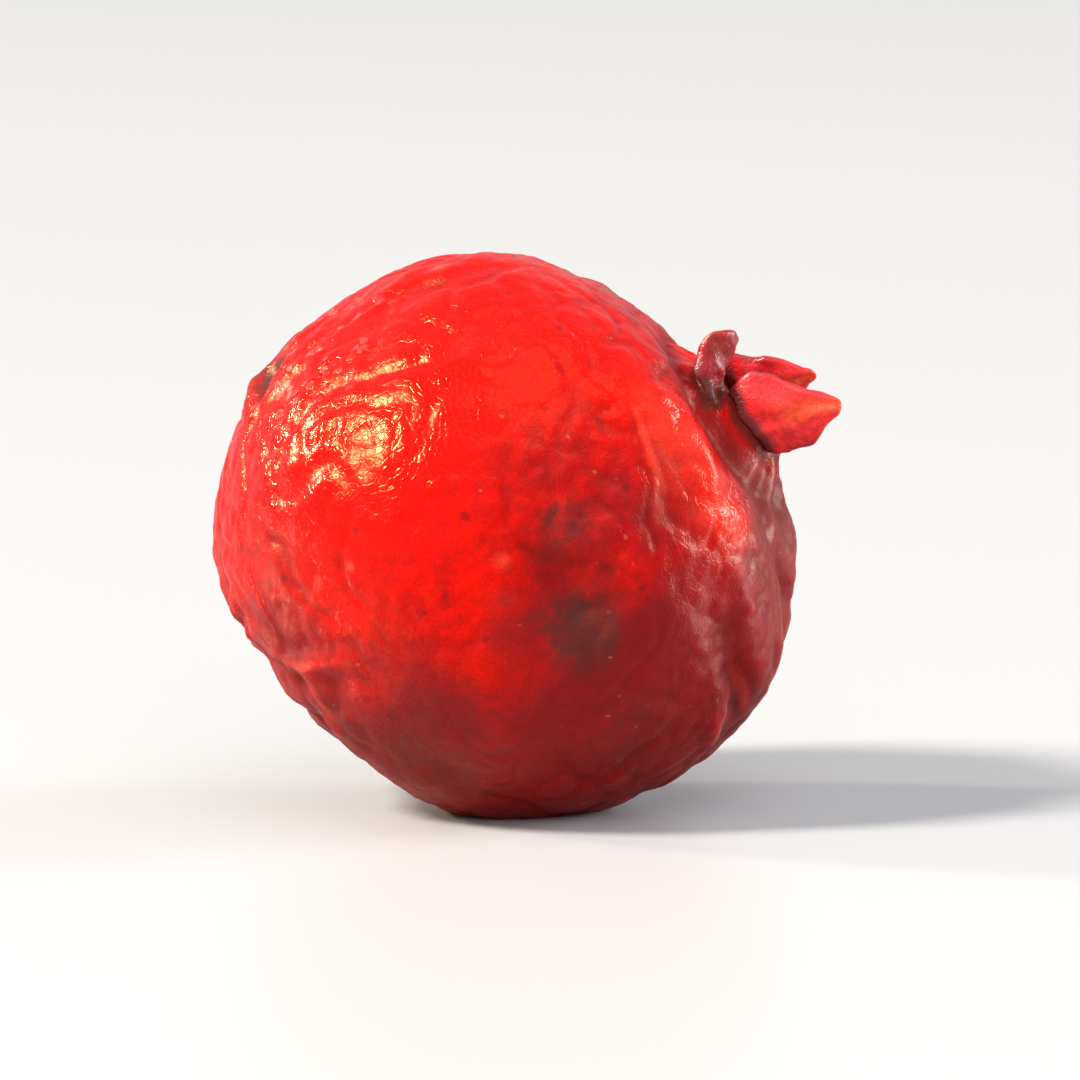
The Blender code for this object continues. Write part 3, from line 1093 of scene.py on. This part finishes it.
pores, given, handed_on = new_group(
    "skin_pores",
    [
        ("Place", "NodeSocketVector", None),
        ("Pore Size", "NodeSocketFloat", 0.2),
        ("Depth", "NodeSocketFloat", 0.005),
    ],
    ["Height", "Grooves"],
)
per_mm = add_math(pores, "pores per millimetre", "DIVIDE", 1.0, given["Pore Size"])
swelling = add_noise(pores, "soft swelling", given["Place"], per_mm, Detail=2.0, Roughness=0.5)
cells_per_mm = add_math(pores, "cells per millimetre", "MULTIPLY", per_mm, CELLS_PER_PORE)
cells = add_node(
    pores, "ShaderNodeTexVoronoi", "skin cells", Vector=given["Place"], Scale=cells_per_mm
)
cells.feature = "DISTANCE_TO_EDGE"
grooves = add_range(pores, "grooves between cells", cells.outputs["Distance"], 0.16, 0.0)
sunk = add_math(pores, "groove depth", "MULTIPLY", grooves, GROOVE_DEPTH)
both = add_math(pores, "swelling and grooves", "SUBTRACT", swelling["Fac"], sunk)
height = add_math(pores, "height in millimetres", "MULTIPLY", both, given["Depth"])
feed(pores, handed_on["Height"], height)
feed(pores, handed_on["Grooves"], grooves)

# %% Specks
SPECK_WOBBLE = 0.22
WOBBLES_PER_MM = 3.5
SPECK_MARGIN = 0.08

specks, given, handed_on = new_group(
    "small_specks",
    [
        ("Place", "NodeSocketVector", None),
        ("Spacing", "NodeSocketFloat", 0.8),
        ("Speck Size", "NodeSocketFloat", 0.2),
    ],
    ["Specks"],
)
wobble = add_noise(specks, "wobble", given["Place"], WOBBLES_PER_MM, Detail=2.0)
ragged_place = add_mix(
    specks, "ragged outline", SPECK_WOBBLE, given["Place"], wobble["Color"], "ADD"
)
scattered = add_node(
    specks,
    "ShaderNodeTexVoronoi",
    "scattered places",
    Vector=ragged_place,
    Scale=add_math(specks, "places per millimetre", "DIVIDE", 1.0, given["Spacing"]),
    Randomness=1.0,
)
inside = add_math(
    specks, "inside a speck", "SUBTRACT", given["Speck Size"], scattered.outputs["Distance"]
)
soft_edge = add_range(specks, "soft margin", inside, 0.0, SPECK_MARGIN)
only_some = add_range(specks, "only some places", scattered.outputs["Color"], 0.45, 0.5)
feed(specks, handed_on["Specks"], add_math(specks, "specks", "MULTIPLY", soft_edge, only_some))
print("shared effects:", [group.name for group in bpy.data.node_groups])

# %% [markdown]
# ## The skin's colour
#
# Dried cranberry skin goes from scarlet on the sunny side to wine red on the other, and that wine red is
# partly painted shade on the side away from the main light. The colour is laid on in steps, as glazes are:
# first the reds that the whole fruit has, then what the drying did to it, then the small marks. A later
# glaze covers an earlier one, so the bruises are dark on a pale streak as well.

# %% Colours
SCARLET = (0.74, 0.004, 0.002, 1)
CRIMSON = (0.50, 0.003, 0.004, 1)
MAROON = (0.13, 0.006, 0.011, 1)
DEEP_RED_AND_SHADE = (0.118, 0.007, 0.014, 1)
TIGHT_SKIN_AND_SHEEN = (0.86, 0.085, 0.050, 1)
STRETCHED_SKIN_AND_HIGHLIGHT = (0.84, 0.009, 0.003, 1)
SCUFFED_SKIN = (0.70, 0.20, 0.17, 1)
BRUISED_AND_SHADED = (0.070, 0.029, 0.030, 1)
PALE_SPECK = (0.80, 0.30, 0.16, 1)
CORK = (0.24, 0.105, 0.045, 1)
ROOT_SHADOW_BROWN = (0.085, 0.012, 0.012, 1)

# %% The reds of the fruit
skin_finish.use_nodes = True
tree = skin_finish.node_tree
shader = tree.nodes["Principled BSDF"]
place = place_in_mm(tree)
relief = kept_value(tree, "relief")
ripe_and_shade = kept_value(tree, "ripeness_and_shade")
patches = place_group(tree, pigment, place, Patch_Size=2.4)

colour = lay_on(tree, "crimson patches", SCARLET, CRIMSON, patches["Patches"], 0.5)
# Darker on the deep side: partly the fruit's own wine red, partly painted shade away from the main light.
colour = lay_on(tree, "deep side", colour, DEEP_RED_AND_SHADE, ripe_and_shade, 0.8)
colour = lay_on(tree, "grain", colour, MAROON, patches["Grain"], 0.3)

# %% [markdown]
# ### Streaks, crests and folds
#
# The streaks are a pale orange-red, partly painted sheen. The relief says how many millimetres the skin
# lies over the plump berry, or under it. Crests are pulled tight and turn a brighter red, less so on the
# deep side, which is partly a painted highlight on them. Folds are darkened to maroon, which is painted
# shade in them.

# %% Streaks, crests and folds
# Pale streaks: tight skin and painted sheen along the lit ridges.
tight_and_sheen = add_range(tree, "tight skin", kept_value(tree, "streak"), 0.05, 0.9)
colour = lay_on(tree, "pale streaks", colour, TIGHT_SKIN_AND_SHEEN, tight_and_sheen, 0.7)
# Brighter crests: tight skin and a painted highlight, weaker on the deep side.
crests_and_highlight = add_math(
    tree,
    "fewer on the deep side",
    "MULTIPLY",
    add_range(tree, "crests_and_highlight", relief, 0.0, 0.09),
    add_range(tree, "bright side", ripe_and_shade, 0.0, 1.0, 1.0, 0.3),
)
colour = lay_on(tree, "stretched crests", colour, STRETCHED_SKIN_AND_HIGHLIGHT, crests_and_highlight, 0.5)
# Darker folds: painted shade in the creases.
folds = add_range(tree, "folds", relief, -0.03, -0.26)
colour = lay_on(tree, "in the folds", colour, MAROON, folds, 0.6)

# %% [markdown]
# ### Scuffs, bruises, specks and painted shade
#
# The scuffed place is a cluster of pale, slightly raised specks. Mottling breaks them up, so that they
# don't look dotted on. The bruises come after them and cover them; some of them are painted shade. Dark
# and pale specks are scattered over all of the fruit, the stem scar is cork, the grooves between the skin
# cells are darkened a little as painted shade, and a dark line of painted shadow runs round the roots of
# the lobes.

# %% Scuffs, and bruises that are partly painted shade
scuff_specks = place_group(tree, specks, place, Spacing=0.36, Speck_Size=0.46)
mottling = place_group(tree, pigment, place, Patch_Size=1.5)
broken = add_math(
    tree,
    "specks and mottling",
    "MULTIPLY",
    scuff_specks["Specks"],
    add_range(tree, "mottling", mottling["Grain"], 0.15, 0.75, 0.25, 1.0),
)
scuff = add_math(tree, "scuff specks", "MULTIPLY", kept_value(tree, "scuffed"), broken)
colour = lay_on(tree, "scuffed", colour, SCUFFED_SKIN, scuff)
# Bruises, partly painted shade in hollows and toward the bottom.
patchy_bruise_and_shade = add_math(
    tree,
    "patchy bruise",
    "MULTIPLY",
    kept_value(tree, "bruise_and_shade"),
    add_range(tree, "bruise patches", patches["Grain"], 0.0, 1.0, 0.75, 1.05),
)
bruise_and_shade_mask = add_range(tree, "bruise_and_shade_mask", patchy_bruise_and_shade, 0.05, 1.0)
colour = lay_on(tree, "bruises", colour, BRUISED_AND_SHADED, bruise_and_shade_mask, 0.85)

# %% Specks, pores, cork and the painted shadow round the roots
dark_specks = place_group(tree, specks, place, Spacing=1.1, Speck_Size=0.16)
colour = lay_on(tree, "dark specks", colour, MAROON, dark_specks["Specks"], 0.5)
pale_specks = place_group(tree, specks, place, Spacing=0.75, Speck_Size=0.11)
colour = lay_on(tree, "pale specks", colour, PALE_SPECK, pale_specks["Specks"], 0.25)
skin_pores = place_group(tree, pores, place, Pore_Size=0.24, Depth=0.011)
# Darker grooves between the skin cells: painted shade in them.
colour = lay_on(tree, "darker grooves", colour, MAROON, skin_pores["Grooves"], 0.15)
cork = add_range(tree, "cork", kept_value(tree, "stem_mark"), 0.35, 0.8)
colour = lay_on(tree, "stem scar", colour, CORK, cork)
# Painted shadow in the gap round the roots of the lobes.
root_shadow_line = add_range(tree, "close to a root", kept_value(tree, "root_shadow_line"), 0.2, 0.9)
colour = lay_on(tree, "root line", colour, ROOT_SHADOW_BROWN, root_shadow_line, 0.9)
feed(tree, shader.inputs["Base Color"], colour)

# %% [markdown]
# ## The skin's gloss and glow
#
# The bright side is glossy, the folds are dull, and the deep side is satin with a thin waxy sheen on it.
# The skin is also a little see-through, so light enters, turns orange-red inside and comes out again
# nearby. Subsurface scattering gives that glow. A gloss with a warm tint keeps the highlights golden, as
# they are over red flesh, and a bump map adds the pores, which are too fine for the mesh.

# %% Gloss
gloss = add_range(tree, "uneven gloss", patches["Patches"], 0.0, 1.0, 0.13, 0.24)
dull_folds = add_range(tree, "dull", relief, -0.02, -0.2, 0.0, 0.2)
satin = add_range(tree, "satin", ripe_and_shade, 0.1, 0.9, 0.0, 0.16)
roughness = add_math(tree, "dull folds", "ADD", gloss, dull_folds)
roughness = add_math(tree, "duller deep side", "ADD", roughness, satin)
feed(tree, shader.inputs["Roughness"], roughness)
feed(tree, shader.inputs["Coat Weight"], add_range(tree, "waxy sheen", ripe_and_shade, 0.1, 1.0, 0.02, 0.12))
shader.inputs["Coat Roughness"].default_value = 0.24
shader.inputs["Specular IOR Level"].default_value = 0.26
shader.inputs["Specular Tint"].default_value = (1.0, 0.50, 0.14, 1)

# %% Glow, pores and raised specks
SCUFF_RISE_MM = 0.03

shader.inputs["Subsurface Weight"].default_value = 0.3
shader.inputs["Subsurface Radius"].default_value = (1.0, 0.08, 0.04)
shader.inputs["Subsurface Scale"].default_value = 1.1 * MM
raised = add_math(tree, "raised specks", "MULTIPLY", scuff, SCUFF_RISE_MM)
raised = add_math(tree, "height in millimetres", "ADD", raised, skin_pores["Height"])
bump = add_node(tree, "ShaderNodeBump", "pores and specks", Strength=1.0, Distance=MM, Height=raised)
feed(tree, shader.inputs["Normal"], bump.outputs["Normal"])
print("nodes in the skin:", len(tree.nodes))

# %% [markdown]
# ## The lobes' finish
#
# A dried lobe is thinner than the skin, so light shines through it more. It is bright red with orange at
# its heart, which is painted glow, and dark maroon along its margin and toward its root; toward the root
# the dark is painted shadow. The numbers kept on each lobe's points, how far along, how far across and how
# dark, say where that is.

# %% The lobes' colour
LOBE_RED = (0.86, 0.024, 0.030, 1)
LOBE_ORANGE_GLOW = (0.95, 0.17, 0.03, 1)
LOBE_DARK = (0.11, 0.006, 0.014, 1)

lobe_finish.use_nodes = True
tree = lobe_finish.node_tree
shader = tree.nodes["Principled BSDF"]
place = place_in_mm(tree)
across = add_math(tree, "off the middle", "ABSOLUTE", kept_value(tree, "lobe_across"), 0.0)
patches = place_group(tree, pigment, place, Patch_Size=0.9)
# The orange heart is painted glow, the light that shines through the thin lobe.
heart = add_math(
    tree,
    "heart",
    "MULTIPLY",
    add_range(tree, "near the middle", across, 0.55, 0.05),
    add_range(tree, "past the root", kept_value(tree, "lobe_along"), 0.3, 0.6),
)
colour = lay_on(tree, "glowing heart", LOBE_RED, LOBE_ORANGE_GLOW, heart, 0.6)
colour = lay_on(tree, "patches", colour, CRIMSON, patches["Patches"], 0.25)
margin = add_range(tree, "edge", across, 0.72, 1.0)
colour = lay_on(tree, "margin", colour, LOBE_DARK, margin, 0.6)
colour = lay_on(tree, "older lobes", colour, LOBE_DARK, kept_value(tree, "lobe_darkness"))
colour = lay_on(tree, "grain", colour, LOBE_DARK, patches["Grain"], 0.35)
# Painted shadow toward the root, in the gap where the lobe meets the skin.
root_shadow_line = add_range(tree, "close to the root", kept_value(tree, "root_shadow_line"), 0.1, 0.8)
colour = lay_on(tree, "root line", colour, ROOT_SHADOW_BROWN, root_shadow_line, 0.95)
feed(tree, shader.inputs["Base Color"], colour)

# %% The lobes' gloss and glow
gloss = add_range(tree, "uneven gloss", patches["Grain"], 0.0, 1.0, 0.32, 0.5)
feed(tree, shader.inputs["Roughness"], gloss)
shader.inputs["Subsurface Weight"].default_value = 0.5
shader.inputs["Subsurface Radius"].default_value = (1.0, 0.2, 0.08)
shader.inputs["Subsurface Scale"].default_value = 0.9 * MM
shader.inputs["Coat Weight"].default_value = 0.15
shader.inputs["Coat Roughness"].default_value = 0.25
fibres = place_group(tree, pores, place, Pore_Size=0.18, Depth=0.014)
bump = add_node(tree, "ShaderNodeBump", "fibres", Strength=1.0, Distance=MM, Height=fibres["Height"])
feed(tree, shader.inputs["Normal"], bump.outputs["Normal"])
print("nodes in the lobes:", len(tree.nodes))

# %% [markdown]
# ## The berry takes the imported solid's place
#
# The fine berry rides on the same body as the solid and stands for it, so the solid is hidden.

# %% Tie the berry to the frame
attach(body, "root")
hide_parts("cranberry")
print(body.name, "stands for the packed cranberry")

# %% [markdown]
# ## The floor
#
# The berry lies on a smooth pale floor, which ends inside the ring of lamps. Such a floor would light the
# berry from below nearly as much as the lamps do from above, and lay a milky veil over its dark
# underside. So the floor is pale to the camera, and throws back less and redder light to the berry.

# %% Floor
FLOOR_REACH = 0.85
FLOOR_CORNERS = 96
FLOOR_TONES = ((0.525, 0.535, 0.56, 1), (0.555, 0.565, 0.585, 1))
FLOOR_CLOUDS_PER_METRE = 9.0
FLOOR_BOUNCE = (0.44, 0.23, 0.23, 1)
FLOOR_ROUGHNESS = 0.32

disk = bmesh.new()
bmesh.ops.create_circle(disk, cap_ends=True, segments=FLOOR_CORNERS, radius=FLOOR_REACH)
floor = add_piece("floor", disk)
floor_finish = bpy.data.materials.new("pale_floor")
floor_finish.use_nodes = True
tree = floor_finish.node_tree
shader = tree.nodes["Principled BSDF"]
where = add_node(tree, "ShaderNodeTexCoord", "place").outputs["Object"]
cloudy = add_noise(tree, "faint clouding", where, FLOOR_CLOUDS_PER_METRE, Detail=2.0)
pale_tone = add_mix(tree, "pale tone", cloudy["Fac"], *FLOOR_TONES)
seen = add_node(tree, "ShaderNodeLightPath", "seen by the camera").outputs["Is Camera Ray"]
feed(tree, shader.inputs["Base Color"], add_mix(tree, "weak bounce", seen, FLOOR_BOUNCE, pale_tone))
shader.inputs["Roughness"].default_value = FLOOR_ROUGHNESS
floor.data.materials.append(floor_finish)
print("the floor reaches, m:", FLOOR_REACH)

# %% [markdown]
# ## The lights
#
# The photograph has one main light, at the left, a little in front and above. It gives the bright side
# and the cluster of warm glints. A smaller one further round, and a little behind, makes the second
# cluster near the left edge. The right side gets a wide weak light, and another wide one hangs above.
#
# Three more lights do what only a renderer can. Two show in the gloss alone, one round the main light
# and one round the smaller one, and give the glints their golden glow. One in front shows in no gloss
# and only lifts the dark middle.

# %% A round lamp
def soft_light(name, direction, distance, across, watts, colour):
    """A round lamp that faces the berry, at a distance and with a width in metres."""
    light = bpy.data.lights.new(name, "AREA")
    light.shape = "DISK"
    light.size = across
    light.energy = watts
    light.color = colour
    lamp = bpy.data.objects.new(name, light)
    bpy.context.scene.collection.objects.link(lamp)
    lamp.location = AIM + direction * distance
    lamp.rotation_euler = (-direction).to_track_quat("-Z", "Y").to_euler()
    return lamp


# %% Lights
WARM = (1.0, 0.93, 0.82)
AMBER = (1.0, 0.86, 0.62)
GOLDEN = (1.0, 0.84, 0.52)
COOL = (0.98, 0.98, 1.0)
NEARLY_WHITE = (1.0, 0.99, 0.97)
CREAM = (1.0, 0.97, 0.94)
KEY_TOWARD = Vector((-0.69, -0.30, 0.71)).normalized()
GLOW_TOWARD = Vector((-0.73, -0.24, 0.67)).normalized()
SIDE_TOWARD = Vector((-0.87, 0.28, 0.41)).normalized()
FILL_TOWARD = Vector((0.92, 0.30, 0.25)).normalized()
TOP_TOWARD = Vector((0.25, -0.35, 0.90)).normalized()
FRONT_TOWARD = Vector((0.10, -0.92, 0.38)).normalized()

soft_light("key", KEY_TOWARD, distance=1.2, across=0.26, watts=24, colour=WARM)
soft_light("side", SIDE_TOWARD, distance=1.2, across=0.12, watts=8.0, colour=AMBER)
soft_light("fill", FILL_TOWARD, distance=1.0, across=0.46, watts=7.6, colour=COOL)
soft_light("top", TOP_TOWARD, distance=1.0, across=0.8, watts=3.0, colour=NEARLY_WHITE)
side_glow = soft_light(
    "side_glow", SIDE_TOWARD, distance=1.1, across=0.13, watts=8.0, colour=GOLDEN
)
side_glow.visible_diffuse = False
glow = soft_light("glow", GLOW_TOWARD, distance=1.1, across=0.44, watts=16, colour=GOLDEN)
glow.visible_diffuse = False
front_light = soft_light("front", FRONT_TOWARD, distance=1.0, across=0.8, watts=4.1, colour=CREAM)
front_light.visible_glossy = False
print("lamps:", len(bpy.data.lights))

# %% [markdown]
# ## The room
#
# The whole room is pale, so the shadow stays light and a little blue. To the camera it is nearly white,
# and to the berry it gives less light, so that the lamps still shape it. The plain view transform keeps
# the reds as strong as they are in the photograph.

# %% The room
ROOM_TINT = (0.93, 0.96, 1.0, 1)
ROOM_LIGHT = 0.42
WALL_BRIGHTNESS = 1.04

world = bpy.data.worlds.new("pale_room")
world.use_nodes = True
tree = world.node_tree
background = tree.nodes["Background"]
background.inputs["Color"].default_value = ROOM_TINT
seen = add_node(tree, "ShaderNodeLightPath", "seen by the camera").outputs["Is Camera Ray"]
brightness = add_range(tree, "pale wall", seen, 0.0, 1.0, ROOM_LIGHT, WALL_BRIGHTNESS)
feed(tree, background.inputs["Strength"], brightness)
bpy.context.scene.world = world
bpy.context.scene.view_settings.view_transform = "Standard"
print("the room's light, on the berry and to the camera:", ROOM_LIGHT, WALL_BRIGHTNESS)
